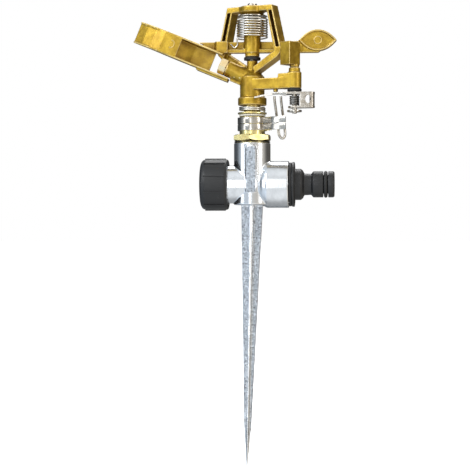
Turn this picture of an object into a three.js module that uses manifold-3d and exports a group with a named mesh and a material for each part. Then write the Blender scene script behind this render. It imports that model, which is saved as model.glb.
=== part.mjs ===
// Impact sprinkler on a ground spike: cast hub and spike, brass bearing, gold cast head
// with a bridge frame, a sprung rocker arm with a drive spoon, and a part-circle trip.
// Millimetres, +Z up. The origin is on the bearing axis at ground level, +X towards the
// hose nipple and -Y towards the side that the arm swings to.
import * as THREE from 'three';
import { mergeVertices } from 'three/addons/utils/BufferGeometryUtils.js';
import Module from 'manifold-3d';

const wasm = await Module();
wasm.setup();

// Driving dimensions
const gap = 0.3;                 // clearance between touching pieces
const axisZ = 14.3;              // height of the hose and cap axis
const hubR = 11.6;               // outside of the upright tube
const hubTop = 40.7;
const hubFloor = 1.3;
const chamberR = 9;              // water chamber in the hub
const spikeTipZ = -165.8;
const spikeHalfTop = 6.9;        // fin half width at the ground line
const spikeHalfTip = 1.5;
const spikeFinTop = 1.4;         // fin half thickness at the ground line
const spikeFinTip = 0.55;
const spikePoint = 0.4;          // half width of the blunt point
const spikeLean = -3.4;          // the casting's spike stands a little off square
const spigotR = 13;              // outside of the capped thread
const socketR = 14.8;            // outside of the hose socket
const socketEnd = 23.5;
const capR = 16.3;
const capInner = -15.2;          // open face of the end cap
const capOuter = -32.6;          // closed face of the end cap
const nutHexAcross = 22;
const nutTurn = -93.5 * Math.PI / 180;  // one corner of the nut faces the arm's side
const nutTop = 57.3;
const sleeveR = 5.2;             // rotating brass sleeve
const sleeveBore = 3.6;
const nutHexLow = 41.9;
const nutHexHigh = 45.9;
const skirtR = 9.1;              // lower skirt of the head
const skirtBottom = 64.6;
const bodyR = 7.8;
const towerR = 3.4;
const towerTop = 93;
const pinR = 1.9;                // arm pin
const pinTop = 129.6;
const barrelRise = 23 * Math.PI / 180;
const barrelLength = 17.6;
const barrelBaseZ = 81.4;
const barrelR = 5.1;
const frameYaw = -25 * Math.PI / 180;   // the bridge frame stands turned from the arm
const legDepth = 8.5;
const legWidth = 4.4;
const legTop = 16.2;             // outer half width of the frame under the top bar
const legLow = 23.2;             // outer half width at the frame's knees
const kneeZ = 97.5;
const barZ = 123.8;              // underside of the frame's top bar
const barTop = 127.4;
const bossLow = 122.6;           // underside of the round boss at the bar's middle
const armLow = 97.8;             // underside of the rocker arm
const armTop = 105.2;
const spoonRise = 22.4 * Math.PI / 180;
const spoonLength = 66.4;
const spoonHeight = 14.3;
const spoonStart = [-15.4, 80.6];   // near end of the lower rail, in X and Z
const railThick = 1.1;
const springR = 9.5;             // mean radius of the arm spring
const springWire = 0.55;
const springTurns = 8;
const tripRadius = 30.3;         // trip pin's distance from the bearing axis
const tripPinR = 1.7;
const lugLow = 74.1;             // underside of the trip lug and its arm
const collarR = 8.55;            // inside of the trip collars
const collarTurn = frameYaw - 0.03;     // where their ears stand at rest
const stripThick = 0.8;
const wireR = 0.8;               // trip wire

// Finishes
function finish(color, roughness, metalness) {
  return new THREE.MeshStandardMaterial({ color, roughness, metalness });
}
const goldPaint = finish(0xb8901e, 0.42, 0.55);
const zinc = finish(0xc9cdd0, 0.3, 0.95);
const brass = finish(0xd9c468, 0.28, 0.95);
const paleBrass = finish(0xe6d8a4, 0.35, 0.85);
const nickel = finish(0xa8a39a, 0.25, 1);
const springSteel = finish(0xb9b3a8, 0.3, 1);
const blackPlastic = finish(0x17181a, 0.5, 0);
const blackRubber = finish(0x0d0d0e, 0.8, 0);
const whiteNylon = finish(0xdcd8c8, 0.6, 0);

// Solids
function solid(geometry) {
  const bare = geometry.clone();
  bare.deleteAttribute('normal');
  bare.deleteAttribute('uv');
  const merged = mergeVertices(bare, 1e-4);
  const index = merged.index.array;
  const kept = [];
  for (let i = 0; i < index.length; i += 3) {
    const [a, b, c] = [index[i], index[i + 1], index[i + 2]];
    if (a !== b && b !== c && c !== a) kept.push(a, b, c);
  }
  const make = (tris) => new wasm.Manifold(new wasm.Mesh({
    numProp: 3,
    vertProperties: new Float32Array(merged.attributes.position.array),
    triVerts: new Uint32Array(tris),
  }));
  const made = make(kept);
  if (made.volume() > 0) return made;
  const turned = [];
  for (let i = 0; i < kept.length; i += 3) turned.push(kept[i], kept[i + 2], kept[i + 1]);
  return make(turned);
}

function place(geometry, matrix) {
  return solid(geometry.applyMatrix4(matrix));
}

// A profile of [radius, height] points turned about the Z axis
function turned(profile, segments = 32) {
  const points = profile.map(([r, z]) => new THREE.Vector2(r, z));
  return new THREE.LatheGeometry(points, segments).rotateX(Math.PI / 2);
}

// The same about the X axis at the hose height
function turnedX(profile, segments = 32) {
  return turned(profile, segments).rotateY(Math.PI / 2).translate(0, 0, axisZ);
}

function ringProfile(inner, outer, low, high) {
  return [[inner, low], [outer, low], [outer, high], [inner, high], [inner, low]];
}

function rodProfile(radius, low, high) {
  return [[0, low], [radius, low], [radius, high], [0, high]];
}

function rod(radius, low, high, segments = 24) {
  return solid(turned(rodProfile(radius, low, high), segments));
}

function ring(inner, outer, low, high, segments = 32) {
  return solid(turned(ringProfile(inner, outer, low, high), segments));
}

function rodX(radius, low, high, segments = 28) {
  return solid(turnedX(rodProfile(radius, low, high), segments));
}

function block(x0, x1, y0, y1, z0, z1) {
  const box = new THREE.BoxGeometry(x1 - x0, y1 - y0, z1 - z0);
  return solid(box.translate((x0 + x1) / 2, (y0 + y1) / 2, (z0 + z1) / 2));
}

function outline(points) {
  return new THREE.Shape(points.map(([x, y]) => new THREE.Vector2(x, y)));
}

// A plan outline raised from low to high
function raised(shape, low, high, curveSegments = 10) {
  const settings = { depth: high - low, bevelEnabled: false, curveSegments };
  return new THREE.ExtrudeGeometry(shape, settings).translate(0, 0, low);
}

// An outline drawn in the XZ plane, with its thickness from y0 to y1
function upright(shape, y0, y1, curveSegments = 10) {
  const settings = { depth: y1 - y0, bevelEnabled: false, curveSegments };
  return new THREE.ExtrudeGeometry(shape, settings).rotateX(Math.PI / 2).translate(0, y1, 0);
}

function hexOutline(across, turn = 0) {
  const corner = across / Math.sqrt(3);
  const points = [];
  for (let i = 0; i < 6; i += 1) {
    const angle = turn + i * Math.PI / 3;
    points.push([corner * Math.cos(angle), corner * Math.sin(angle)]);
  }
  return outline(points);
}

// A bent strip's outline: its middle line, half a thickness to each side
function stripOutline(points, thick) {
  const left = [];
  const right = [];
  points.forEach(([x, y], i) => {
    const before = points[Math.max(i - 1, 0)];
    const after = points[Math.min(i + 1, points.length - 1)];
    const length = Math.hypot(after[0] - before[0], after[1] - before[1]);
    const nx = -(after[1] - before[1]) / length * thick / 2;
    const ny = (after[0] - before[0]) / length * thick / 2;
    left.push([x + nx, y + ny]);
    right.unshift([x - nx, y - ny]);
  });
  return outline([...left, ...right]);
}

function arcPoints(radius, from, to, count) {
  const points = [];
  for (let i = 0; i <= count; i += 1) {
    const angle = (from + (to - from) * i / count) * Math.PI / 180;
    points.push([radius * Math.cos(angle), radius * Math.sin(angle)]);
  }
  return points;
}

// A round wire along a curve
function wire(curve, radius, steps, sides = 6) {
  const section = outline(arcPoints(radius, 0, 360 - 360 / sides, sides - 1));
  const settings = { steps, extrudePath: curve, bevelEnabled: false };
  return new THREE.ExtrudeGeometry(section, settings);
}

class Helix extends THREE.Curve {
  constructor(radius, low, high, turns, start = 0) {
    super();
    Object.assign(this, { radius, low, high, turns, start });
  }

  getPoint(t, target = new THREE.Vector3()) {
    const angle = this.start + 2 * Math.PI * this.turns * t;
    const z = this.low + (this.high - this.low) * t;
    return target.set(this.radius * Math.cos(angle), this.radius * Math.sin(angle), z);
  }
}

function bentCurve(points) {
  const places = points.map(([x, y, z]) => new THREE.Vector3(x, y, z));
  return new THREE.CatmullRomCurve3(places, false, 'centripetal');
}

function union(first, ...others) {
  return others.reduce((sum, next) => sum.add(next), first);
}

function cut(first, ...others) {
  return others.reduce((left, next) => left.subtract(next), first);
}

function geometryOf(manifold) {
  const mesh = manifold.getMesh();
  const geometry = new THREE.BufferGeometry();
  geometry.setAttribute('position', new THREE.BufferAttribute(mesh.vertProperties, 3));
  geometry.setIndex(new THREE.BufferAttribute(mesh.triVerts, 1));
  return geometry;
}

const sprinkler = new THREE.Group();

function add(name, manifold, material, group = sprinkler) {
  const mesh = new THREE.Mesh(geometryOf(manifold), material.clone());
  mesh.name = name;
  group.add(mesh);
}

// Turned to the bridge frame, or to the spoon's own slope
const toFrame = new THREE.Matrix4().makeRotationZ(frameYaw);
const spoonAxes = new THREE.Matrix4().makeBasis(
  new THREE.Vector3(-Math.cos(spoonRise), 0, Math.sin(spoonRise)),
  new THREE.Vector3(0, -1, 0),
  new THREE.Vector3(Math.sin(spoonRise), 0, Math.cos(spoonRise)),
);
const toSpoon = new THREE.Matrix4().makeTranslation(spoonStart[0], 0, spoonStart[1]);
toSpoon.multiply(spoonAxes);
const barrelTurn = new THREE.Matrix4().makeRotationY(-(Math.PI / 2 - barrelRise));
const toBarrel = new THREE.Matrix4().makeTranslation(0, 0, barrelBaseZ).multiply(barrelTurn);
const tripX = tripRadius * Math.cos(frameYaw);
const tripY = tripRadius * Math.sin(frameYaw);
const toTrip = new THREE.Matrix4().makeTranslation(tripX, tripY, 0);

// Spike and hub, one zinc casting
function spike() {
  const half = 1;
  const rib = 0.2;
  const corners = [[half, rib], [rib, rib], [rib, half], [-rib, half], [-rib, rib], [-half, rib]];
  const cross = outline([...corners, ...corners.map(([x, y]) => [-x, -y])]);
  const length = hubFloor + 2 - spikeTipZ;
  const settings = { depth: length, steps: 6, bevelEnabled: false };
  const geometry = new THREE.ExtrudeGeometry(cross, settings);
  const corner = geometry.attributes.position;
  for (let i = 0; i < corner.count; i += 1) {
    const t = corner.getZ(i) / length;
    const atTip = t < 0.01;
    const wide = atTip ? spikePoint : spikeHalfTip + (spikeHalfTop - spikeHalfTip) * t;
    const thin = atTip ? spikePoint / 2 : spikeFinTip + (spikeFinTop - spikeFinTip) * t;
    const sized = (v) => Math.sign(v) * (Math.abs(v) > 0.5 ? wide : thin);
    const x = sized(corner.getX(i)) + spikeLean * (1 - t);
    corner.setXYZ(i, x, sized(corner.getY(i)), spikeTipZ + corner.getZ(i));
  }
  return solid(geometry);
}

function padOutline(halfWidth, low, high) {
  const shape = new THREE.Shape();
  shape.moveTo(-halfWidth, low);
  shape.lineTo(halfWidth, low);
  shape.lineTo(halfWidth, high - halfWidth);
  shape.absarc(0, high - halfWidth, halfWidth, 0, Math.PI, false);
  return shape;
}

function spikeBase() {
  const tube = rod(hubR, hubFloor, hubTop, 40);
  const capArm = rodX(12, -16.4, 0, 36);
  const capThread = rodX(spigotR, -28, -16.2, 36);
  const shoulder = [[0, 0], [11.8, 0], [11.8, 5], [13.6, 7.2], [socketR, 9.4], [socketR, socketEnd],
    [0, socketEnd]];
  const socket = solid(turnedX(shoulder, 40));
  const pads = solid(upright(padOutline(3.35, 9.3, 39.5), -12.4, 12.4, 8));
  const body = union(tube, capArm, capThread, socket, pads, spike());
  const chamber = rod(chamberR, hubFloor + 3.7, 27, 32);
  const nutThread = rod(10.6, 26.7, hubTop + 1, 32);
  const capBore = rodX(9.4, -29, 0, 28);
  const hoseBore = rodX(9, 0, 12, 28);
  const hoseThread = rodX(13.25, 11, socketEnd + 1, 32);
  return cut(body, chamber, nutThread, capBore, hoseBore, hoseThread);
}

// Screwed cap on the unused inlet, with ten grip panels
function endCap() {
  const panels = 10;
  const grooveDepth = 0.6;
  const points = [];
  for (let i = 0; i < panels; i += 1) {
    const start = i * 360 / panels;
    points.push(...arcPoints(capR, start + 1.5, start + 31, 4));
    points.push(...arcPoints(capR - grooveDepth, start + 32.5, start + 34.5, 1));
  }
  const length = capInner - capOuter;
  const grip = raised(outline(points), 0, length).rotateY(Math.PI / 2).translate(capOuter, 0, axisZ);
  const rounded = [[0, capOuter], [14.4, capOuter], [15.9, capOuter + 1], [capR, capOuter + 3.4],
    [capR, capInner - 1.6], [15.2, capInner], [0, capInner]];
  const threadHole = rodX(spigotR + gap, -30.4, capInner + 1, 36);
  return cut(solid(grip).intersect(solid(turnedX(rounded, 40))), threadHole);
}

// Quick-connect hose nipple
function hoseNipple() {
  const profile = [[5, 11.5], [12.9, 11.5], [12.9, 21.8], [11.2, 21.8], [11.2, 25.5], [14.2, 25.5],
    [14.2, 27],
    [9.9, 27], [9.9, 31.6], [6.8, 33.4], [6.8, 37.8], [7.8, 38.4], [8.3, 38.8], [8.3, 45.1], [5.9, 45.1],
    [5.9, 48.3], [8.3, 48.3], [8.3, 51.2], [7.6, 52.2], [5, 52.2], [5, 11.5]];
  return solid(turnedX(profile, 36));
}

function torusX(major, minor, x) {
  const circle = arcPoints(minor, 0, 360, 8).map(([r, z]) => [major + r, x + z]);
  return solid(turnedX(circle, 32));
}

// Brass bearing nut and its collar
function bearingNut() {
  const hex = solid(raised(hexOutline(nutHexAcross, nutTurn), nutHexLow, nutHexHigh));
  const chamferProfile = [[0, nutHexLow - 1], [13, nutHexLow - 1], [13, nutHexHigh - 1], [11, nutHexHigh],
    [0, nutHexHigh]];
  const chamfer = solid(turned(chamferProfile, 36));
  const thread = rod(10.3, 27, nutHexLow + 0.1, 32);
  const collar = rod(8.1, nutHexHigh - 0.1, nutTop, 32);
  const body = union(hex.intersect(chamfer), thread, collar);
  return cut(body, rod(sleeveR + gap, 26, nutTop + 1, 28));
}

function bearingSleeve() {
  const profile = [[sleeveBore, 22], [8.2, 22], [8.2, 24], [sleeveR, 24], [sleeveR, 72],
    [sleeveBore, 72], [sleeveBore, 22]];
  return solid(turned(profile, 28));
}

// Spring-steel trip collar: a bent strip round the nut, with a long ear and a short one
function tripCollar(low, high, turn) {
  const middle = collarR + stripThick / 2;
  const shortEar = [[12.4, 3.2], [9.6, 2.4]];
  const longEar = [[9.8, -2.3], [14.4, -2.6], [16.4, -3.8], [18.6, -4.2], [26.8, -4.2]];
  const line = [...shortEar, ...arcPoints(middle, 17, 347, 26), ...longEar];
  return solid(raised(stripOutline(line, stripThick), low, high).rotateZ(turn));
}

// One leg of the bridge frame: a channel open to the front, and its strut to the body.
// The left strut keeps to the back, clear of the nozzle.
function frameLeg(side) {
  const lean = (legLow - legTop) / (barTop - kneeZ);
  const at = (z, inset) => [side * (legTop + lean * (barTop - z) - inset), z];
  const back = legDepth / 2;
  const leg = [at(barTop, 0), at(kneeZ, 0), [side * (legLow - 3.4), kneeZ - 3.4], at(kneeZ, legWidth + 0.8),
    at(barTop, legWidth)];
  const strut = [at(kneeZ, 0.4), [side * (legLow - 3.4), kneeZ - 3.4], [side * 4, 84.6],
    [side * 2.6, 88.6], at(kneeZ + 0.6, legWidth + 0.8)];
  const strutFront = side > 0 ? -back : -0.6;
  const recessLow = kneeZ + 3;
  const recessHigh = barZ + 1.6;
  const recess = [at(recessHigh, 1.1), at(recessLow, 1.1), at(recessLow, legWidth - 1.1),
    at(recessHigh, legWidth - 1.1)];
  const channel = cut(place(upright(outline(leg), -back, back), toFrame),
    place(upright(outline(recess), -back - 1, back - 3.2), toFrame));
  return channel.add(place(upright(outline(strut), strutFront, back), toFrame));
}

function headBody() {
  const coreProfile = [[0, skirtBottom], [skirtR, skirtBottom], [skirtR, 69.2], [bodyR, 69.8],
    [bodyR, 82.6], [bodyR - 0.8, 83.4], [5.6, 85], [towerR, 86.6], [towerR, towerTop], [0, towerTop]];
  const core = solid(turned(coreProfile, 36));
  const barrel = place(turned(rodProfile(barrelR, 0, barrelLength), 28), toBarrel);
  const rib = place(new THREE.BoxGeometry(3.4, 2.6, 12).translate(-barrelR + 0.2, 0, 7), toBarrel);
  const legs = union(frameLeg(1), frameLeg(-1));
  const barBox = new THREE.BoxGeometry(2 * legTop - 1, legDepth, barTop - barZ);
  const bar = place(barBox.translate(0, 0, (barZ + barTop) / 2), toFrame);
  const bossProfile = [[0, bossLow], [6.8, bossLow], [8.2, barZ], [8.2, barTop - 0.6], [7.4, barTop],
    [0, barTop]];
  const boss = solid(turned(bossProfile, 32));
  const armPlan = outline([[0.4, -7.8], [17, -12.9], [27, -17.2], [30, -9.6], [20, -6.8], [3, -2]]);
  const lugArm = solid(raised(armPlan, lugLow, 81));
  const lug = place(turned(rodProfile(4.4, lugLow, 84.2), 28), toTrip);
  const lugBlock = place(new THREE.BoxGeometry(9.8, 8.6, 9.5).translate(25.6, 0, lugLow + 4.75), toFrame);
  const collar = place(turned(rodProfile(3.6, 83, 87), 24), toTrip);
  const peg = solid(turned(rodProfile(1.5, 72.2, lugLow + 0.3), 16).translate(15.4, -8.6, 0));
  const body = union(core, barrel, rib, legs, bar, boss, lugArm, lug, lugBlock, collar, peg);
  const sleeveHole = rod(sleeveR + gap, 60, 72.4, 28);
  const riser = rod(sleeveBore, 72, 80, 24);
  const throat = place(turned(rodProfile(sleeveBore, 0, barrelLength), 24), toBarrel);
  const nozzleThread = place(turned(rodProfile(4.2, 9, barrelLength + 1), 24), toBarrel);
  const pinHole = rod(pinR + gap, 86.5, pinTop, 20);
  const tripHole = place(turned(rodProfile(tripPinR + gap, 70, 90), 20), toTrip);
  return cut(body, sleeveHole, riser, throat, nozzleThread, pinHole, tripHole);
}

function nozzle() {
  const tip = barrelLength + 4.9;
  const hex = place(raised(hexOutline(9.8, Math.PI / 2), barrelLength + gap, tip), toBarrel);
  const chamferProfile = [[0, 0], [5.6, 0], [5.6, tip - 0.9], [4.6, tip], [0, tip]];
  const chamfer = place(turned(chamferProfile, 24), toBarrel);
  const stem = place(turned(rodProfile(3.9, 9.4, barrelLength + 1), 24), toBarrel);
  const jet = place(turned(rodProfile(1.8, 9, tip + 1), 16), toBarrel);
  const mouth = place(turned([[0, 9], [3.1, 9], [1.8, 15], [0, 15]], 16), toBarrel);
  return cut(union(hex.intersect(chamfer), stem), jet, mouth);
}

// Rocker arm: hub, hammer bar, leaf counterweight and drive spoon
function leafOutline(cx, cz, halfLength, halfHeight) {
  const shape = new THREE.Shape();
  shape.moveTo(cx - halfLength, cz);
  shape.quadraticCurveTo(cx - halfLength * 0.52, cz + halfHeight * 1.02, cx, cz + halfHeight);
  shape.quadraticCurveTo(cx + halfLength * 0.52, cz + halfHeight * 1.02, cx + halfLength, cz);
  shape.quadraticCurveTo(cx + halfLength * 0.52, cz - halfHeight * 1.02, cx, cz - halfHeight);
  shape.quadraticCurveTo(cx - halfLength * 0.52, cz - halfHeight * 1.02, cx - halfLength, cz);
  return shape;
}

function spoon() {
  const rail = (from, back, low) => {
    const near = [[from, 5.8], [40, 6.4], [56, 4.2], [spoonLength, -1.6]];
    const far = [[spoonLength, -4.6], [52, -2.4], [40, -5.8], [24, -5.8], [19, back], [from, back]];
    return place(raised(outline([...near, ...far]), low, low + railThick), toSpoon);
  };
  const innerVane = [[14.2, -5], [20, -5.1], [28, -4.8], [32, -3.6], [35.4, -1.2], [38.4, 1]];
  const outerVane = [[36.4, 5.5], [42, 5.8], [48, 5.2], [54, 3.6], [60, 0.8], [spoonLength - 0.4, -3]];
  const vane = (line) => place(raised(stripOutline(line, 1.2), 0.5, spoonHeight - 0.5), toSpoon);
  const rib = place(new THREE.BoxGeometry(21.5, 9, 1.8).translate(10.75, 0, -0.4), toSpoon);
  const topRail = rail(9, -3, spoonHeight - railThick);
  return union(rail(0, -5.8, 0), topRail, vane(innerVane), vane(outerVane), rib);
}

function rockerArm() {
  const neck = rod(4.6, 95.4, armLow + 0.5, 28);
  const hub = rod(5.3, armLow, 118.6, 28);
  const flange = block(-22, 28, -3, 2.6, armLow, armLow + 2.3);
  const web = block(-22, 28, 0.6, 2.6, armLow, armTop);
  const endPlan = raised(padOutline(3.3, -8.4, 0.2), armLow, armTop);
  const endBlock = solid(endPlan.rotateZ(Math.PI / 2).translate(-23.8, -0.7, 0));
  const gussetOutline = outline([[-34.5, armTop], [-23, armTop], [-23, 99.4], [-24.6, 99.4]]);
  const gusset = solid(upright(gussetOutline, 0.4, 2.6));
  const tailOutline = outline([[26, armLow], [42, armLow], [46, 101], [30, armTop], [26, armTop]]);
  const tail = solid(upright(tailOutline, -2, 2.6));
  const leaf = solid(upright(leafOutline(41.7, 105.6, 12, 6.7), -2.8, 3.2, 8));
  const dish = solid(upright(leafOutline(41.7, 105.6, 10.6, 5.6), -4, -1.8, 8));
  const arm = union(neck, hub, flange, web, endBlock, gusset, tail, leaf, spoon());
  return cut(arm, dish, rod(pinR + gap, 90, 125, 20));
}

// Arm spring: an open coil between the arm and the seat under the frame's boss
function armSpring() {
  const coil = new Helix(springR, 107.2, 119.8, springTurns, Math.PI * 1.1);
  return solid(wire(coil, springWire, springTurns * 14));
}

function bearingSpring() {
  return solid(wire(new Helix(7.9, 61.2, 63.6, 2, 0.4), 0.6, 32));
}

function armPin() {
  return union(rod(pinR, 86.8, pinTop - 0.5, 20), rod(3, barTop + gap, pinTop, 20));
}

// Trip: gold block on the pin, stamped lever under the lug, wire hanging to the collars
function tripBlock() {
  const turn = -40 * Math.PI / 180;
  const blank = new THREE.BoxGeometry(8.2, 9.7, 14.5).translate(-1.6, -2.35, 95.85);
  const box = solid(blank.rotateZ(turn).translate(tripX, tripY, 0));
  const neck = place(turned(rodProfile(3, 87.3, 89), 20), toTrip);
  return cut(union(box, neck), place(turned(rodProfile(tripPinR + gap, 80, 101.4), 20), toTrip));
}

function tripLever() {
  const plan = new THREE.Shape();
  plan.moveTo(-26.3, 3.8);
  plan.lineTo(-25.3, 0.2);
  plan.lineTo(-13.5, -0.8);
  plan.lineTo(-5, -4.4);
  plan.lineTo(9.6, -4.4);
  plan.absarc(9.6, -1.2, 3.2, -Math.PI / 2, Math.PI / 2, false);
  plan.lineTo(0, 4);
  plan.lineTo(-9, 6.4);
  plan.lineTo(-16, 6);
  plan.lineTo(-21.5, 4);
  const plate = place(raised(plan, 70.2, 71.6), toTrip);
  const lipPlan = outline([[-25.3, 0.2], [-13.5, -0.8], [-5, -4.4], [-5, -3.4], [-13.3, 0.2], [-25.2, 1.2]]);
  const lip = place(raised(lipPlan, 68.8, 70.4), toTrip);
  const wallLine = [[3.6, -3.9], [9.4, -3.9], [11.4, -3.1], [12.2, -1.2], [11.5, 0.8], [9.4, 1.5]];
  const wall = place(raised(stripOutline(wallLine, 1), 62.2, 71.4), toTrip);
  const eye = place(turned(rodProfile(1, -6, -2), 16).scale(1.7, 2.6, 1).rotateX(-Math.PI / 2)
    .translate(8.6, 0, 67), toTrip);
  const foot = new THREE.Shape();
  foot.moveTo(0, -4.4);
  foot.lineTo(9.6, -4.4);
  foot.absarc(9.6, -1.2, 3.2, -Math.PI / 2, Math.PI / 2, false);
  foot.lineTo(0, 3.6);
  foot.absarc(0, -0.4, 4, Math.PI / 2, 3 * Math.PI / 2, false);
  const lowerPlate = place(raised(foot, 61.6, 62.8), toTrip);
  const pinHole = place(turned(rodProfile(tripPinR + gap, 60, 80), 20), toTrip);
  return cut(union(plate, lip, wall, lowerPlate), eye, pinHole);
}

function tripWire() {
  const depth = -4.2;            // of its lower half, behind the collars' ears
  const top = -8.2;
  const inner = [[14.6, top, 69.6], [14.8, -7.8, 66], [15.8, -5.2, 58], [16.8, depth, 50],
    [17.4, depth, 45.4]];
  const outer = [[21, depth, 45], [20.8, depth, 50], [19.8, -5.2, 58], [18.9, -7.8, 66],
    [18.7, top, 69.6]];
  return solid(wire(bentCurve([...inner, [19.2, depth, 43.2], ...outer]), wireR, 44, 8));
}

// Assembly
add('spike_base', spikeBase(), zinc);
add('end_cap', endCap(), blackPlastic);
add('end_cap_seal', solid(turnedX(ringProfile(9.8, 12.9, -30.1, -28.4), 32)), blackRubber);
add('hose_nipple', hoseNipple(), blackPlastic);
add('nipple_seal', solid(turnedX(ringProfile(11.6, 13.9, 23.8, 25.2), 32)), blackRubber);
add('nipple_o_ring', torusX(7.35, 1.15, 46.7), blackRubber);
add('bearing_nut', bearingNut(), brass);
add('nut_seal', ring(10.7, 11.5, 41, 41.6), blackRubber);
add('bearing_sleeve', bearingSleeve(), brass);
add('sleeve_washer_nylon', ring(5.6, 8, 24.3, 25.2), whiteNylon);
add('sleeve_washer_rubber', ring(5.6, 8, 25.5, 26.7), blackRubber);
add('thrust_washer_lower', ring(5.6, 8.4, 57.6, 58.7), whiteNylon);
add('thrust_washer_upper', ring(5.6, 9.2, 59, 60), brass);
add('bearing_spring', bearingSpring(), springSteel);
add('trip_collar_lower', tripCollar(48.4, 52.4, collarTurn), nickel);
add('trip_collar_upper', tripCollar(52.7, 56.7, collarTurn), nickel);
add('head_body', headBody(), goldPaint);
add('nozzle', nozzle(), paleBrass);
add('arm_washer', ring(2.2, 5.3, 93.3, 95.1), blackRubber);
add('rocker_arm', rockerArm(), goldPaint);
add('arm_spring', armSpring(), springSteel);
add('spring_seat', ring(2.2, 9.6, 120.9, 122.2), nickel);
add('arm_pin', armPin(), nickel);
add('trip_block', tripBlock(), goldPaint);
add('trip_pin', place(turned(rodProfile(tripPinR, 58.2, 101), 20), toTrip), nickel);
add('lug_washer', place(turned(ringProfile(2, 4.5, 72.2, 73.8), 24), toTrip), blackRubber);
add('trip_lever', tripLever(), nickel);
add('trip_spring', place(wire(new Helix(2.65, 63.7, 69.3, 5, 0.2), 0.5, 60), toTrip), springSteel);
add('trip_clip', place(turned(ringProfile(2, 4.6, 59.2, 60.4), 24), toTrip), nickel);
add('trip_wire', tripWire(), nickel);

export default sprinkler;
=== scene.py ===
from math import cos, pi, radians, sin, tan

import bmesh
import bpy
from mathutils import Matrix, Vector


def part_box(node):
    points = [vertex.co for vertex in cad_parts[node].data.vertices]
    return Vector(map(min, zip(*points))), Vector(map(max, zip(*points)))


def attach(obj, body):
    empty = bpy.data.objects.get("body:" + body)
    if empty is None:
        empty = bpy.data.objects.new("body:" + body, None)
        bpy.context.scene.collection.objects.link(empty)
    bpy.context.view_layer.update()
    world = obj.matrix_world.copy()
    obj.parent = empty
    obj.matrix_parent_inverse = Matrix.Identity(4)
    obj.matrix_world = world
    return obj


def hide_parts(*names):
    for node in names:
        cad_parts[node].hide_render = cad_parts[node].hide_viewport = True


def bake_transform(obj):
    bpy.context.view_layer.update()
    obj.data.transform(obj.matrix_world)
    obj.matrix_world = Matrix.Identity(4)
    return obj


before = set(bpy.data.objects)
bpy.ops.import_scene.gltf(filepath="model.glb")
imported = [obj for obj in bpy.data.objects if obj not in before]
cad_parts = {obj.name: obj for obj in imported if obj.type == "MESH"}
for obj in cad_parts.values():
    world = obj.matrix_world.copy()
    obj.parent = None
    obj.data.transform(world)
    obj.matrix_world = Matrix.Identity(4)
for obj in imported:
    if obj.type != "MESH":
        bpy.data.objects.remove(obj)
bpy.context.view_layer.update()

mm = 0.001
hoseAxis = 14.3  # height of the hose and cap axis, in mm
print("frame loaded,", len(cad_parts), "nodes")


# shader maths as Python
class Val:
    def __init__(self, kit, socket):
        self.kit = kit
        self.socket = socket

    def maths(self, operation, *others):
        return self.kit.node("Math", {"operation": operation}, dict(enumerate([self, *others])))

    def flipped(self, operation, other):
        return self.kit.node("Math", {"operation": operation}, {0: other, 1: self})

    def __add__(self, other):
        return self.maths("ADD", other)

    def __sub__(self, other):
        return self.maths("SUBTRACT", other)

    def __mul__(self, other):
        return self.maths("MULTIPLY", other)

    def __rsub__(self, other):
        return self.flipped("SUBTRACT", other)

    __radd__ = __add__
    __rmul__ = __mul__

    def above(self, edge, blur):
        return self.kit.node("MapRange", {"interpolation_type": "SMOOTHSTEP"},
                             {"Value": self, "From Min": edge - blur, "From Max": edge + blur})

    def below(self, edge, blur):
        return 1 - self.above(edge, blur)


class Shader:
    def __init__(self, name, holder=None, space="Object"):
        self.material = holder or bpy.data.materials.new(name)
        self.material.use_nodes = True
        self.tree = self.material.node_tree
        self.tree.nodes.clear()
        self.place = self.node("TexCoord", out=space)

    def node(self, kind, settings=None, inputs=None, out=0):
        made = self.tree.nodes.new("ShaderNode" + kind)
        for key, value in (settings or {}).items():
            setattr(made, key, value)
        for key, value in (inputs or {}).items():
            if isinstance(value, Val):
                self.tree.links.new(value.socket, made.inputs[key])
            else:
                made.inputs[key].default_value = value
        return Val(self, made.outputs[out])

    def axes(self):
        split = self.node("SeparateXYZ", {}, {"Vector": self.place}).socket.node
        return [Val(self, split.outputs[i]) for i in range(3)]

    def stretched(self, scale):
        return self.node("VectorMath", {"operation": "MULTIPLY"}, {0: self.place, 1: scale})

    def noise(self, scale, detail=3, rough=0.5, at=None):
        return self.node("TexNoise", {}, {"Vector": at or self.place, "Scale": scale, "Detail": detail,
                                          "Roughness": rough})

    def mix(self, factor, first, second):
        ends = [(*c, 1) if isinstance(c, tuple) else c for c in (first, second)]
        return self.node("Mix", {"data_type": "RGBA"}, {0: factor, 6: ends[0], 7: ends[1]}, out=2)

    def edges(self, low, high):
        point = self.node("NewGeometry", out="Pointiness")
        return self.node("MapRange", {}, {"Value": point, "From Min": low, "From Max": high})

    def bump(self, height, depth, strength=1.0):
        return self.node("Bump", {}, {"Height": height, "Distance": depth, "Strength": strength})

    def done(self, color, rough, metal=0.0, coat=0.0, normal=None, fixed=None):
        ends = {"Base Color": (*color, 1) if isinstance(color, tuple) else color, "Roughness": rough,
                "Metallic": metal, "Coat Weight": coat, **(fixed or {})}
        if normal:
            ends["Normal"] = normal
        skin = self.node("BsdfPrincipled", {}, ends)
        output = self.tree.nodes.new("ShaderNodeOutputMaterial")
        self.tree.links.new(skin.socket, output.inputs["Surface"])
        return self.material


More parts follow.
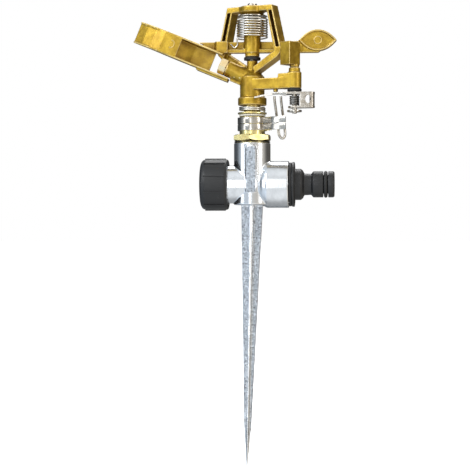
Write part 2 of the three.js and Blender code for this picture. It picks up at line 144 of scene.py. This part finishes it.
def goldPaint():
    look = {"deep": (0.34, 0.2, 0.01), "mid": (0.55, 0.355, 0.03), "pale": (0.95, 0.76, 0.36),
            "painted_cavity_shade": (0.11, 0.045, 0.006)}
    s = Shader("gold_paint")
    patches = s.noise(160, 4, 0.6)
    flake = s.noise(5200, 2, 0.7)
    paint = s.mix(patches.above(0.5, 0.18), look["deep"], look["mid"])
    # pale gold on sharp edges: partly edge wear, partly a painted highlight along the edges
    pale_edges = s.edges(0.51, 0.55) * (0.45 + patches * 0.55)
    # painted shade: where ambient occlusion finds recesses, the paint is darkened towards dark brown to stand
    # in for the shadow in channels and hollows
    around = s.node("AmbientOcclusion", {"only_local": True, "samples": 8}, {"Distance": 0.009}, out="AO")
    painted_cavity_shade = around.below(0.56, 0.3)
    color = s.mix(pale_edges, s.mix(painted_cavity_shade * 0.8, paint, look["painted_cavity_shade"]), look["pale"])
    rough = 0.3 + patches * 0.14 + flake * 0.08 - pale_edges * 0.08
    skin = s.bump(s.noise(1100, 3, 0.55) * 0.7 + flake * 0.3, 0.00006, 0.55)
    return s.done(color, rough, 0.78, 0.25, skin, {"Coat Roughness": 0.22})


def castZinc():
    look = {"bright": (0.80, 0.82, 0.85), "soft": (0.66, 0.68, 0.71), "pad": (0.66, 0.71, 0.78),
            "grey": (0.36, 0.4, 0.45), "pit": (0.16, 0.16, 0.17)}
    s = Shader("cast_zinc")
    x, y, z = s.axes()
    lean = (z * -1.0).maths("MAXIMUM", 0.0) * 0.0205  # the spike stands a little off square
    off = (x + lean).maths("ABSOLUTE")
    pad = off.below(0.0029, 0.0003) * y.maths("ABSOLUTE").above(0.0119, 0.0002)
    pad = pad * z.above(0.0095, 0.0006) * z.below(0.038, 0.001)
    valley = z.below(0.0005, 0.001) * off.above(0.0014, 0.0004)
    rough = (pad + valley).maths("MINIMUM", 1.0)
    grain = s.noise(650, 5, 0.62)
    pits = s.noise(900, 2, 0.5).above(0.6, 0.06) * rough
    streaks = s.noise(240, 3, 0.6, s.stretched((1, 1, 0.12)))
    polished = s.mix(streaks.above(0.5, 0.25), look["bright"], look["soft"])
    cast = s.mix(grain.above(0.56, 0.12), look["grey"], look["pad"])
    color = s.mix(pits, s.mix(rough, polished, cast), look["pit"])
    gloss = 0.14 + streaks * 0.14 + rough * (0.14 + grain * 0.16)
    skin = s.bump(streaks * 0.12 + rough * grain * 1.0, 0.00035, 0.6)
    return s.done(color, gloss, 1.0, 0.0, skin)


def blackPlastic():
    s = Shader("black_plastic")
    sheen = s.noise(140, 3, 0.5)
    grain = s.noise(3800, 2, 0.6)
    scuffs = s.noise(420, 5, 0.7, s.stretched((1, 1, 0.2))).above(0.66, 0.04)
    pale_edges = s.edges(0.52, 0.58)
    color = s.mix(scuffs * 0.35 + pale_edges * 0.25, (0.011, 0.0115, 0.013), (0.05, 0.05, 0.052))
    gloss = 0.33 + sheen * 0.16 + grain * 0.06 + scuffs * 0.12
    return s.done(color, gloss, 0.0, 0.0, s.bump(grain, 0.00004, 0.5), {"IOR": 1.5})


def turnedBrass(name, base, dull):
    s = Shader(name)
    stain = s.noise(260, 4, 0.6)
    tool = s.noise(900, 2, 0.5, s.stretched((0.15, 0.15, 3)))
    color = s.mix(stain.above(0.55, 0.15), base, dull)
    gloss = 0.17 + stain * 0.13 + tool * 0.07
    return s.done(color, gloss, 1.0, 0.0, s.bump(tool, 0.00003, 0.5))


def platedSteel(name, base, dull, gloss):
    s = Shader(name)
    haze = s.noise(420, 4, 0.6)
    rolled = s.noise(1500, 2, 0.5, s.stretched((0.2, 0.2, 1.6)))
    pale_edges = s.edges(0.52, 0.6)
    color = s.mix(pale_edges * 0.5, s.mix(haze.above(0.52, 0.16), base, dull), (0.85, 0.84, 0.8))
    rough = gloss + haze * 0.12 + rolled * 0.06
    return s.done(color, rough, 1.0, 0.0, s.bump(rolled, 0.00003, 0.4))


def softPlain(name, base, pale, gloss):
    s = Shader(name)
    mould = s.noise(700, 4, 0.6)
    dust = s.noise(2400, 2, 0.6).above(0.62, 0.05)
    color = s.mix(dust * 0.4, base, pale)
    return s.done(color, gloss + mould * 0.12, 0.0, 0.0, s.bump(mould, 0.00005, 0.5))


finishes = {
    "gold": goldPaint(),
    "zinc": castZinc(),
    "plastic": blackPlastic(),
    "brass": turnedBrass("brass", (0.86, 0.75, 0.36), (0.7, 0.56, 0.22)),
    "nozzle": turnedBrass("nozzle_brass", (0.93, 0.79, 0.52), (0.86, 0.66, 0.34)),
    "nickel": platedSteel("nickel", (0.56, 0.53, 0.48), (0.36, 0.32, 0.27), 0.12),
    "steel": platedSteel("spring_steel", (0.72, 0.69, 0.63), (0.5, 0.47, 0.42), 0.16),
    "dark": platedSteel("dark_spring", (0.08, 0.078, 0.075), (0.16, 0.155, 0.15), 0.34),
    "rubber": softPlain("black_rubber", (0.009, 0.009, 0.0095), (0.05, 0.05, 0.05), 0.55),
    "nylon": softPlain("white_nylon", (0.74, 0.71, 0.62), (0.6, 0.55, 0.45), 0.4),
}
print("finishes made:", ", ".join(finishes))


# mesh helpers
def shown(name, mesh, finish, sharp=35):
    piece = bpy.data.objects.new(name, mesh)
    bpy.context.scene.collection.objects.link(piece)
    mesh.materials.clear()
    mesh.materials.append(finishes[finish])
    mesh.shade_smooth()
    mesh.set_sharp_from_angle(angle=radians(sharp))
    piece["finish"] = finish
    return piece


def settle(piece, body, *nodes):
    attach(piece, body)
    if nodes:
        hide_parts(*nodes)
    return piece


def softened(points, radius, closed):
    # each corner of the outline becomes a short arc
    out = []
    count = len(points)
    for i, corner in enumerate(points):
        if not closed and i in (0, count - 1):
            out.append(corner)
            continue
        here = Vector(corner)
        back = Vector(points[i - 1]) - here
        ahead = Vector(points[(i + 1) % count]) - here
        reach = min(radius, back.length * 0.45, ahead.length * 0.45)
        first = here + back.normalized() * reach
        last = here + ahead.normalized() * reach
        for step in range(4):
            t = step / 3
            out.append(tuple(first * (1 - t) ** 2 + here * 2 * t * (1 - t) + last * t ** 2))
    return out


def ringMesh(name, rows, closed):
    # rows of points round an axis; a row of one point is a pole
    bm = bmesh.new()
    loops = [[bm.verts.new(Vector(p) * mm) for p in row] for row in rows]
    pairs = list(zip(loops, loops[1:])) + ([(loops[-1], loops[0])] if closed else [])
    for low, high in pairs:
        steps = max(len(low), len(high))
        for i in range(steps):
            j = (i + 1) % steps
            corners = [low[i % len(low)], low[j % len(low)], high[j % len(high)], high[i % len(high)]]
            corners = list(dict.fromkeys(corners))
            if len(corners) > 2:
                bm.faces.new(corners)
    bmesh.ops.recalc_face_normals(bm, faces=bm.faces)
    mesh = bpy.data.meshes.new(name)
    bm.to_mesh(mesh)
    bm.free()
    return mesh


def turned(name, profile, finish, place=None, edge=0.25, steps=96, sharp=35):
    # profile of (radius, height); it closes on itself unless it starts on the axis
    closed = profile[0][0] > 0
    rows = []
    for r, h in softened(profile, edge, closed):
        if r < 1e-6:
            rows.append([(0, 0, h)])
        else:
            rows.append([(r * cos(2 * pi * i / steps), r * sin(2 * pi * i / steps), h) for i in range(steps)])
    mesh = ringMesh(name, rows, closed)
    if place:
        mesh.transform(place)
    return shown(name, mesh, finish, sharp)


def hexTurned(name, across, turn, rows, finish, place=None):
    # rows of (radius, height, lean): lean 1 or -1 follows the hexagon with its chamfer
    steps = 120
    out = []
    inner = across / 2 - 0.15
    for r, h, lean in rows:
        row = []
        for i in range(steps):
            angle = turn + 2 * pi * i / steps
            flat = across / 2 / cos((2 * pi * i / steps) % (pi / 3) - pi / 6)
            radius = flat if lean else r
            height = h + lean * (flat - inner) * 0.5
            row.append((radius * cos(angle), radius * sin(angle), height))
        out.append(row)
    mesh = ringMesh(name, out, True)
    if place:
        mesh.transform(place)
    return shown(name, mesh, finish, 25)


def alongX(height=hoseAxis):
    return Matrix.Translation((0, 0, height * mm)) @ Matrix.Rotation(pi / 2, 4, "Y")


def prism(name, outline, low, high, finish, place=None, edge=0.12):
    bm = bmesh.new()
    base = [bm.verts.new((x * mm, y * mm, low * mm)) for x, y in outline]
    top = [bm.verts.new((x * mm, y * mm, high * mm)) for x, y in outline]
    bm.faces.new(base)
    bm.faces.new(top)
    for i in range(len(base)):
        j = (i + 1) % len(base)
        bm.faces.new((base[i], base[j], top[j], top[i]))
    bmesh.ops.recalc_face_normals(bm, faces=bm.faces)
    rims = [e for e in bm.edges if e.calc_face_angle(0) > radians(30)]
    bmesh.ops.bevel(bm, geom=rims, offset=edge * mm, segments=2, profile=0.5, affect="EDGES",
                    clamp_overlap=True)
    mesh = bpy.data.meshes.new(name)
    bm.to_mesh(mesh)
    bm.free()
    if place:
        mesh.transform(place)
    return shown(name, mesh, finish)


def stripOutline(line, thick):
    left, right = [], []
    for i, (x, y) in enumerate(line):
        before = line[max(i - 1, 0)]
        after = line[min(i + 1, len(line) - 1)]
        along = Vector((after[0] - before[0], after[1] - before[1])).normalized() * thick / 2
        left.append((x - along.y, y + along.x))
        right.insert(0, (x + along.y, y - along.x))
    return left + right


def evaluated(piece):
    graph = bpy.context.evaluated_depsgraph_get()
    mesh = bpy.data.meshes.new_from_object(piece.evaluated_get(graph))
    piece.modifiers.clear()
    piece.data = mesh
    return mesh


def castCopy(name, node, voxel, finish, rounds=(), passes=4):
    # a casting's skin: the CAD solid with soft edges, its round faces made truly round
    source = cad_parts[node].data.copy()
    bm = bmesh.new()
    bm.from_mesh(source)
    bmesh.ops.remove_doubles(bm, verts=bm.verts, dist=1e-6)
    bm.to_mesh(source)
    bm.free()
    piece = bpy.data.objects.new(name, source)
    bpy.context.scene.collection.objects.link(piece)
    grid = piece.modifiers.new("grid", "REMESH")
    grid.mode = "VOXEL"
    grid.voxel_size = voxel * mm * 1
    soften = piece.modifiers.new("soften", "SMOOTH")
    soften.factor = 0.5
    soften.iterations = passes
    mesh = evaluated(piece)
    for tube in rounds:
        middle = Vector(tube["at"]) * mm
        along = Vector(tube["along"]).normalized()
        for v in mesh.vertices:
            out = v.co - middle
            height = out.dot(along)
            if not tube["from"] * mm < height < tube["to"] * mm:
                continue
            side = out - along * height
            if side.length > 1e-6 and abs(side.length - tube["radius"] * mm) < 0.13 * mm:
                v.co = middle + along * height + side.normalized() * tube["radius"] * mm
    mesh.materials.clear()
    mesh.materials.append(finishes[finish])
    mesh.shade_smooth()
    piece["finish"] = finish
    return piece


# geometry nodes
def newTree(name, inputs):
    tree = bpy.data.node_groups.new(name, "GeometryNodeTree")
    tree.interface.new_socket("Geometry", in_out="INPUT", socket_type="NodeSocketGeometry")
    for label, kind in inputs.items():
        tree.interface.new_socket(label, in_out="INPUT", socket_type="NodeSocket" + kind)
    tree.interface.new_socket("Geometry", in_out="OUTPUT", socket_type="NodeSocketGeometry")
    entry = tree.nodes.new("NodeGroupInput")

    def add(kind, inputs=None, settings=None):
        made = tree.nodes.new(kind)
        for key, value in (settings or {}).items():
            setattr(made, key, value)
        for key, value in (inputs or {}).items():
            if isinstance(value, bpy.types.NodeSocket):
                tree.links.new(value, made.inputs[key])
            else:
                made.inputs[key].default_value = value
        return made

    def close(geometry, finish):
        real = add("GeometryNodeRealizeInstances", {"Geometry": geometry})
        skin = add("GeometryNodeSetMaterial", {"Geometry": real.outputs[0], "Material": finishes[finish]})
        tree.links.new(skin.outputs[0], tree.nodes.new("NodeGroupOutput").inputs[0])

    return tree, entry.outputs, add, close


def grown(name, tree, values, finish, seed=None, sharp=40):
    piece = bpy.data.objects.new(name, seed or bpy.data.meshes.new(name))
    bpy.context.scene.collection.objects.link(piece)
    rule = piece.modifiers.new("rule", "NODES")
    rule.node_group = tree
    for item in tree.interface.items_tree:
        if item.in_out == "INPUT" and item.name in values:
            rule[item.identifier] = values[item.name]
    mesh = evaluated(piece)
    mesh.shade_smooth()
    mesh.set_sharp_from_angle(angle=radians(sharp))
    piece["finish"] = finish
    return piece


def springTree(finish):
    inputs = {"Radius": "Float", "Wire": "Float", "Turns": "Float", "Height": "Float", "Start": "Vector",
              "Turn": "Vector"}
    tree, given, add, close = newTree("spring_" + finish, inputs)
    coil = add("GeometryNodeCurveSpiral", {"Resolution": 40, "Rotations": given["Turns"],
                                           "Start Radius": given["Radius"], "End Radius": given["Radius"],
                                           "Height": given["Height"]})
    section = add("GeometryNodeCurvePrimitiveCircle", {"Resolution": 14, "Radius": given["Wire"]})
    tube = add("GeometryNodeCurveToMesh", {"Curve": coil.outputs[0], "Profile Curve": section.outputs[0],
                                           "Fill Caps": True})
    put = add("GeometryNodeTransform", {"Geometry": tube.outputs[0], "Translation": given["Start"],
                                        "Rotation": given["Turn"]})
    close(put.outputs[0], finish)
    return tree


def wireTree(finish):
    tree, given, add, close = newTree("wire_" + finish, {"Wire": "Float", "Steps": "Int"})
    line = add("GeometryNodeMeshToCurve", {"Mesh": given["Geometry"]})
    smooth = add("GeometryNodeCurveSplineType", {"Curve": line.outputs[0]}, {"spline_type": "CATMULL_ROM"})
    even = add("GeometryNodeResampleCurve", {"Curve": smooth.outputs[0], "Count": given["Steps"]})
    section = add("GeometryNodeCurvePrimitiveCircle", {"Resolution": 16, "Radius": given["Wire"]})
    tube = add("GeometryNodeCurveToMesh", {"Curve": even.outputs[0], "Profile Curve": section.outputs[0],
                                           "Fill Caps": True})
    close(tube.outputs[0], finish)
    return tree


def bentWire(name, points, radius, finish, steps=90):
    seed = bpy.data.meshes.new(name)
    links = [(i, i + 1) for i in range(len(points) - 1)]
    seed.from_pydata([tuple(Vector(p) * mm) for p in points], links, [])
    return grown(name, wireTree(finish), {"Wire": radius * mm, "Steps": steps}, finish, seed)


def ridgeTree(finish):
    inputs = {"Count": "Int", "Radius": "Float", "Size": "Vector", "Start": "Vector"}
    tree, given, add, close = newTree("ridges", inputs)
    spots = add("GeometryNodeMeshCircle", {"Vertices": given["Count"], "Radius": given["Radius"]})
    bar = add("GeometryNodeMeshCube", {"Size": given["Size"], "Vertices X": 3, "Vertices Y": 3,
                                       "Vertices Z": 9})
    place = add("GeometryNodeInputPosition")
    facing = add("FunctionNodeAlignEulerToVector", {"Vector": place.outputs[0]}, {"axis": "X"})
    many = add("GeometryNodeInstanceOnPoints", {"Points": spots.outputs[0], "Instance": bar.outputs[0],
                                                "Rotation": facing.outputs[0]})
    put = add("GeometryNodeTransform", {"Geometry": many.outputs[0], "Translation": given["Start"],
                                        "Rotation": (0, pi / 2, 0)})
    close(put.outputs[0], finish)
    return tree


# hub and spike
hub = {"tube": 11.6, "socket": 14.8, "spigot": 12.0, "thread": 13.0}
along = {"up": (0, 0, 1), "hose": (1, 0, 0)}
base = castCopy("spike_and_hub", "spike_base", 0.42, "zinc", [
    {"at": (0, 0, 0), "along": along["up"], "radius": hub["tube"], "from": 2, "to": 40.2},
    {"at": (0, 0, hoseAxis), "along": along["hose"], "radius": hub["socket"], "from": 9.8, "to": 23},
    {"at": (0, 0, hoseAxis), "along": along["hose"], "radius": hub["spigot"], "from": -16, "to": 12},
    {"at": (0, 0, hoseAxis), "along": along["hose"], "radius": hub["thread"], "from": -27.5, "to": -16.8},
])
settle(base, "base", "spike_base")
print("spike and hub cast")

# end cap
cap = {"radius": 16.2, "open": -15.2, "closed": -32.6, "bore": 13.35, "floor": -30.35, "ridges": 10,
       "ridge": (0.9, 0.55, 13.2), "shift": 0.4}
capShell = turned("cap_shell", [
    (0, cap["closed"]), (13.6, cap["closed"]), (15.4, cap["closed"] + 1.1),
    (cap["radius"], cap["closed"] + 3.2),
    (cap["radius"], cap["open"] - 1.4), (15.6, cap["open"]), (cap["bore"] + 0.3, cap["open"]),
    (cap["bore"], cap["open"] - 0.5), (cap["bore"], cap["floor"]), (0, cap["floor"]),
], "plastic", alongX(), 0.7, 120, 50)
settle(capShell, "cap", "end_cap")
ridges = grown("cap_ridges", ridgeTree("plastic"), {
    "Count": cap["ridges"], "Radius": (cap["radius"] - 0.02) * mm,
    "Size": tuple(side * mm for side in cap["ridge"]),
    "Start": ((cap["open"] + cap["closed"]) / 2 * mm + cap["shift"] * mm, 0, hoseAxis * mm),
}, "plastic")
settle(ridges, "cap")

# hose nipple
nipple = turned("nipple", [
    (5, 11.5), (12.9, 11.5), (12.9, 21.8), (11.2, 21.8), (11.2, 25.5), (14.2, 25.5), (14.2, 27), (9.9, 27.2),
    (9.9, 30.9), (8.9, 32.2), (6.9, 33.2), (6.7, 37.6), (7.6, 38.2), (8.3, 38.9), (8.3, 45.1), (5.9, 45.1),
    (5.9, 48.3), (8.3, 48.3), (8.3, 51.4), (7.7, 52.2), (5.5, 52.2), (5, 51.6),
], "plastic", alongX(), 0.3, 120)
settle(nipple, "base", "hose_nipple")

# seals and washers, each as thick as its solid
flatRings = {
    "end_cap_seal": ("cap_carrier", "rubber", 9.8, 12.9, "x"),
    "nipple_seal": ("base", "rubber", 11.6, 13.9, "x"),
    "nut_seal": ("base", "rubber", 10.7, 11.5, "z"),
    "sleeve_washer_nylon": ("head", "nylon", 5.6, 8.0, "z"),
    "sleeve_washer_rubber": ("head", "rubber", 5.6, 8.0, "z"),
    "thrust_washer_lower": ("base", "nylon", 5.6, 8.4, "z"),
    "thrust_washer_upper": ("head", "brass", 5.6, 9.2, "z"),
    "arm_washer": ("head", "rubber", 2.2, 5.3, "z"),
}
for node, (body, finish, inner, outer, axis) in flatRings.items():
    low, high = [getattr(corner, axis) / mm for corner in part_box(node)]
    profile = [(inner, low), (outer, low), (outer, high), (inner, high)]
    settle(turned(node + "_ring", profile, finish, alongX() if axis == "x" else None, 0.25), body, node)
oRing = {"middle": 7.35, "at": 46.7, "thick": 1.15}
oProfile = []
for i in range(24):
    around = 2 * pi * i / 24
    radius = oRing["middle"] + oRing["thick"] * cos(around)
    oProfile.append((radius, oRing["at"] + oRing["thick"] * sin(around)))
settle(turned("o_ring", oProfile, "rubber", alongX(), 0.02, 96, 80), "base", "nipple_o_ring")
print("cap, nipple and seals turned")

# bearing
nut = {"across": 22, "low": 41.9, "high": 45.9, "turn": radians(-93.5), "bore": 5.5, "thread": 10.3,
       "collar": 8.1}
nutRows = [(nut["bore"], 27, 0), (nut["thread"], 27, 0), (nut["thread"], 41.6, 0), (10.85, nut["low"], 0),
           (0, nut["low"], 1), (0, nut["high"], -1), (10.85, nut["high"], 0), (nut["collar"], 46.0, 0),
           (nut["collar"], 57.0, 0), (nut["collar"] - 0.3, 57.3, 0), (nut["bore"], 57.3, 0)]
settle(hexTurned("bearing_nut_turned", nut["across"], nut["turn"], nutRows, "brass"), "base", "bearing_nut")
sleeve = [(3.6, 22), (8.2, 22), (8.2, 24), (5.2, 24), (5.2, 72), (3.6, 72)]
settle(turned("sleeve_turned", sleeve, "brass", None, 0.2), "head", "bearing_sleeve")
bearing = {"Radius": 7.9 * mm, "Wire": 0.6 * mm, "Turns": 2.0, "Height": 2.4 * mm, "Start": (0, 0, 61.2 * mm),
           "Turn": (0, 0, 0.4)}
settle(grown("bearing_coil", springTree("steel"), bearing, "steel"), "head", "bearing_spring")

# trip collars: bent strip with two ears
collar = {"inside": 8.55, "thick": 0.8, "turn": radians(-25) - 0.03, "short": [(12.4, 3.2), (9.6, 2.4)],
          "long": [(9.8, -2.3), (14.4, -2.6), (16.4, -3.8), (18.6, -4.2), (26.8, -4.2)]}


def tripCollar(name, body, node):
    middle = collar["inside"] + collar["thick"] / 2
    arc = [radians(17 + 330 * i / 80) for i in range(81)]
    line = collar["short"] + [(middle * cos(a), middle * sin(a)) for a in arc] + collar["long"]
    low, high = [corner.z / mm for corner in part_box(node)]
    place = Matrix.Rotation(collar["turn"], 4, "Z")
    settle(prism(name, stripOutline(line, collar["thick"]), low, high, "nickel", place, 0.14), body, node)


tripCollar("collar_strip_lower", "collar_lower", "trip_collar_lower")
tripCollar("collar_strip_upper", "collar_upper", "trip_collar_upper")
print("bearing and trip collars made")

# head
barrel = {"rise": radians(23), "from": 81.4, "length": 17.6, "radius": 5.1}
barrelAxis = (-cos(barrel["rise"]), 0, sin(barrel["rise"]))
barrelTilt = Matrix.Rotation(barrel["rise"] - pi / 2, 4, "Y")
barrelPlace = Matrix.Translation((0, 0, barrel["from"] * mm)) @ barrelTilt
tripAt = (30.3 * cos(radians(-25)), 30.3 * sin(radians(-25)), 0)
head = castCopy("head_casting", "head_body", 0.34, "gold", [
    {"at": (0, 0, 0), "along": along["up"], "radius": 9.1, "from": 65, "to": 68.9},
    {"at": (0, 0, 0), "along": along["up"], "radius": 7.8, "from": 70.2, "to": 82.2},
    {"at": (0, 0, 0), "along": along["up"], "radius": 3.4, "from": 87, "to": 92.6},
    {"at": (0, 0, barrel["from"]), "along": barrelAxis, "radius": barrel["radius"], "from": 6, "to": 17.2},
    {"at": tripAt, "along": along["up"], "radius": 4.4, "from": 74.4, "to": 83.8},
])
settle(head, "head", "head_body")
tip = barrel["length"]
nozzleRows = [(1.8, 9.6, 0), (3.9, 9.6, 0), (3.9, tip + 0.25, 0), (4.75, tip + 0.3, 0), (0, tip + 0.3, 1),
              (0, tip + 4.9, -1), (4.75, tip + 4.9, 0), (3.1, tip + 4.9, 0), (2.9, tip + 4.6, 0),
              (1.8, tip + 3.2, 0)]
settle(hexTurned("nozzle_hexagon", 9.8, pi / 2, nozzleRows, "nozzle", barrelPlace), "head", "nozzle")
pinProfile = [(0, 86.8), (1.9, 86.8), (1.9, 127.7), (3, 127.7), (3, 129.0), (2.2, 129.6), (0, 129.6)]
settle(turned("arm_pin_turned", pinProfile, "nickel", None, 0.2), "head", "arm_pin")
seat = [(2.2, 121.7), (7.6, 121.7), (8.6, 120.9), (9.6, 120.9), (9.6, 121.4), (8.8, 121.4), (7.8, 122.2),
        (2.2, 122.2)]
settle(turned("spring_seat_pressed", seat, "nickel", None, 0.12), "head", "spring_seat")

# rocker arm
arm = castCopy("rocker_arm_casting", "rocker_arm", 0.34, "gold", [
    {"at": (0, 0, 0), "along": along["up"], "radius": 5.3, "from": 98.2, "to": 118.4},
    {"at": (0, 0, 0), "along": along["up"], "radius": 4.6, "from": 95.6, "to": 97.4},
])
settle(arm, "arm", "rocker_arm")

# raised rings on the leaf and on the spoon
leaf = {"at": (41.7, -1.75, 105.6), "radius": 2.3, "wire": 0.42}
leafX, leafY, leafZ = leaf["at"]
leafTurns = [2 * pi * i / 40 for i in range(41)]
leafRing = [(leafX + leaf["radius"] * cos(a), leafY, leafZ + leaf["radius"] * sin(a)) for a in leafTurns]
settle(bentWire("leaf_ring", leafRing, leaf["wire"], "gold", 80), "arm")
spoon = {"start": (-15.4, 80.6), "rise": radians(22.4), "boss": (41.8, 6.35, 7.6), "wide": 1.8, "radius": 2.4}
spoonRing = []
for i in range(25):
    around = radians(70 + 220 * i / 24)
    out = spoon["boss"][0] + spoon["wide"] * cos(around)
    high = spoon["boss"][2] + spoon["radius"] * sin(around)
    x = spoon["start"][0] - out * cos(spoon["rise"]) + high * sin(spoon["rise"])
    z = spoon["start"][1] + out * sin(spoon["rise"]) + high * cos(spoon["rise"])
    spoonRing.append((x, -spoon["boss"][1], z))
settle(bentWire("spoon_ring", spoonRing, leaf["wire"], "gold", 60), "arm")

# arm spring: the coil winds up between the frame and the arm
coil = {"radius": 9.5, "wire": 0.5, "turns": 8.0, "low": 107.2, "high": 119.8}
armCoil = grown("arm_coil", springTree("steel"), {
    "Radius": coil["radius"] * mm, "Wire": coil["wire"] * mm, "Turns": coil["turns"],
    "Height": (coil["high"] - coil["low"]) * mm, "Start": (0, 0, coil["low"] * mm),
    "Turn": (0, 0, pi * 1.1)}, "steel")
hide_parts("arm_spring")
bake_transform(armCoil)
lowerLeg = [(-9, -2.9, 107.2), (-9.6, -2.6, 105.4), (-9.2, -1.6, 103.4), (-11.2, -1.4, 101.2),
            (-13.6, -1.4, 103.6)]
settle(bentWire("spring_lower_leg", lowerLeg, coil["wire"], "steel", 40), "arm")
print("head, arm and spring made")

# trip
tripPlace = Matrix.Translation(Vector(tripAt) * mm)
settle(castCopy("trip_block_casting", "trip_block", 0.26, "gold", (), 2), "trip", "trip_block")
lever = castCopy("trip_lever_pressed", "trip_lever", 0.2, "nickel", (), 3)
droop = {"from": tripAt[0] - 5, "reach": 21, "fall": 2.6, "top": 71.6, "lip": 0.42}
for v in lever.data.vertices:
    past = (droop["from"] - v.co.x / mm) / droop["reach"]
    if past > 0 and v.co.z / mm > 68:
        height = droop["top"] - (droop["top"] - v.co.z / mm) * (1 - (1 - droop["lip"]) * min(past * 4, 1))
        v.co.z = (height - droop["fall"] * past ** 2) * mm
settle(lever, "trip", "trip_lever")
tripPin = [(0, 58.2), (1.2, 58.2), (1.7, 58.7), (1.7, 101), (0, 101)]
settle(turned("trip_pin_turned", tripPin, "nickel", tripPlace, 0.15), "trip", "trip_pin")
lugRing = [(2, 72.2), (4.5, 72.2), (4.5, 73.8), (2, 73.8)]
settle(turned("lug_washer_ring", lugRing, "rubber", tripPlace, 0.3), "head", "lug_washer")
clipRing = [(2, 59.2), (4.6, 59.2), (4.6, 60.4), (2, 60.4)]
settle(turned("clip_ring", clipRing, "nickel", tripPlace, 0.25), "trip", "trip_clip")
tripCoil = {"Radius": 2.65 * mm, "Wire": 0.52 * mm, "Turns": 5.0, "Height": 5.6 * mm,
            "Start": (tripAt[0] * mm, tripAt[1] * mm, 63.7 * mm), "Turn": (0, 0, 0.2)}
settle(grown("trip_coil", springTree("dark"), tripCoil, "dark"), "head", "trip_spring")
tripLoop = [(14.6, -8.2, 69.6), (14.8, -7.8, 66), (15.8, -5.2, 58), (16.8, -4.2, 50), (17.4, -4.2, 45.4),
            (19.2, -4.2, 43.2), (21, -4.2, 45), (20.8, -4.2, 50), (19.8, -5.2, 58), (18.9, -7.8, 66),
            (18.7, -8.2, 69.6)]
settle(bentWire("trip_wire_bent", tripLoop, 0.8, "nickel", 120), "wire", "trip_wire")
print("trip made")

# studio
studio = {"floor": -0.1662, "size": 60.0, "eye": 0.95, "aim": (-0.011, -0.0178), "azimuth": 5,
          "field": 17.89}
floorMesh = bpy.data.meshes.new("studio_floor")
half = studio["size"] / 2
square = ((-half, -half), (half, -half), (half, half), (-half, half))
corners = [(x, y, studio["floor"]) for x, y in square]
floorMesh.from_pydata(corners, [], [(0, 1, 2, 3)])
floor = bpy.data.objects.new("studio_floor", floorMesh)
bpy.context.scene.collection.objects.link(floor)
paper = Shader("studio_paper")
white = (0.97, 0.97, 0.97)
glow = {"Emission Color": (*white, 1), "Emission Strength": 1.0}
floorMesh.materials.append(paper.done(white, 0.9, fixed=glow))
floor.visible_glossy = False
floor.visible_diffuse = False


def softbox(name, place, size, power, color=(1, 1, 1)):
    light = bpy.data.lights.new(name, "AREA")
    light.shape = "RECTANGLE"
    light.size, light.size_y = size
    light.energy = power
    light.color = color
    lamp = bpy.data.objects.new(name, light)
    bpy.context.scene.collection.objects.link(lamp)
    lamp.location = place
    aim = Vector((0, 0, 0.02)) - Vector(place)
    lamp.rotation_euler = aim.to_track_quat("-Z", "Y").to_euler()


softbox("key_left", (-0.9, -1.0, 0.9), (0.7, 0.9), 11)
softbox("fill_right", (1.2, -0.8, 0.3), (0.35, 0.9), 4)
softbox("fill_left", (-1.3, -0.75, 0.1), (0.3, 0.9), 2.2)
softbox("top_back", (0.1, 0.9, 1.2), (1.0, 0.6), 9)
softbox("strip_front", (-0.25, -1.5, 0.1), (0.25, 1.2), 3)

# surroundings: white in front and above, dim behind, so that metal shows its edges
room = {"dim": 0.1, "front": 0.62, "ground": 0.4, "sky": 0.4, "cool": (0.8, 0.9, 1.0),
        "warm": (1.0, 0.93, 0.82)}
world = bpy.data.worlds.new("studio")
bpy.context.scene.world = world
sky = Shader("studio", world, "Generated")
x, y, z = sky.axes()
level = room["dim"] + y.below(-0.05, 0.4) * room["front"] + z.below(-0.3, 0.2) * room["ground"]
level = level + z.above(0.55, 0.25) * room["sky"]
tint = sky.mix(x.above(0, 0.7), room["cool"], room["warm"])
around = sky.node("Background", {}, {"Color": tint, "Strength": level})
plain = sky.node("Background", {}, {"Color": (1, 1, 1, 1), "Strength": 1.0})
seen = sky.node("LightPath", out="Is Camera Ray")
both = sky.node("MixShader", {}, {0: seen, 1: around, 2: plain})
sky.tree.links.new(both.socket, sky.tree.nodes.new("ShaderNodeOutputWorld").inputs["Surface"])

turn = radians(studio["azimuth"])
toRight = Vector((cos(turn), sin(turn), 0))
toEye = Vector((sin(turn), -cos(turn), 0))
lens = bpy.data.cameras.new("camera")
lens.sensor_width = 36
lens.lens = 18 / tan(radians(studio["field"]) / 2)
lens.clip_start = 0.01
camera = bpy.data.objects.new("camera", lens)
bpy.context.scene.collection.objects.link(camera)
spot = toRight * studio["aim"][0] + toEye * studio["eye"] + Vector((0, 0, studio["aim"][1]))
tilt = Matrix.Rotation(turn, 4, "Z") @ Matrix.Rotation(pi / 2, 4, "X")
camera.matrix_world = Matrix.Translation(spot) @ tilt
bpy.context.scene.camera = camera
bpy.context.scene.view_settings.view_transform = "Standard"

print("studio set")
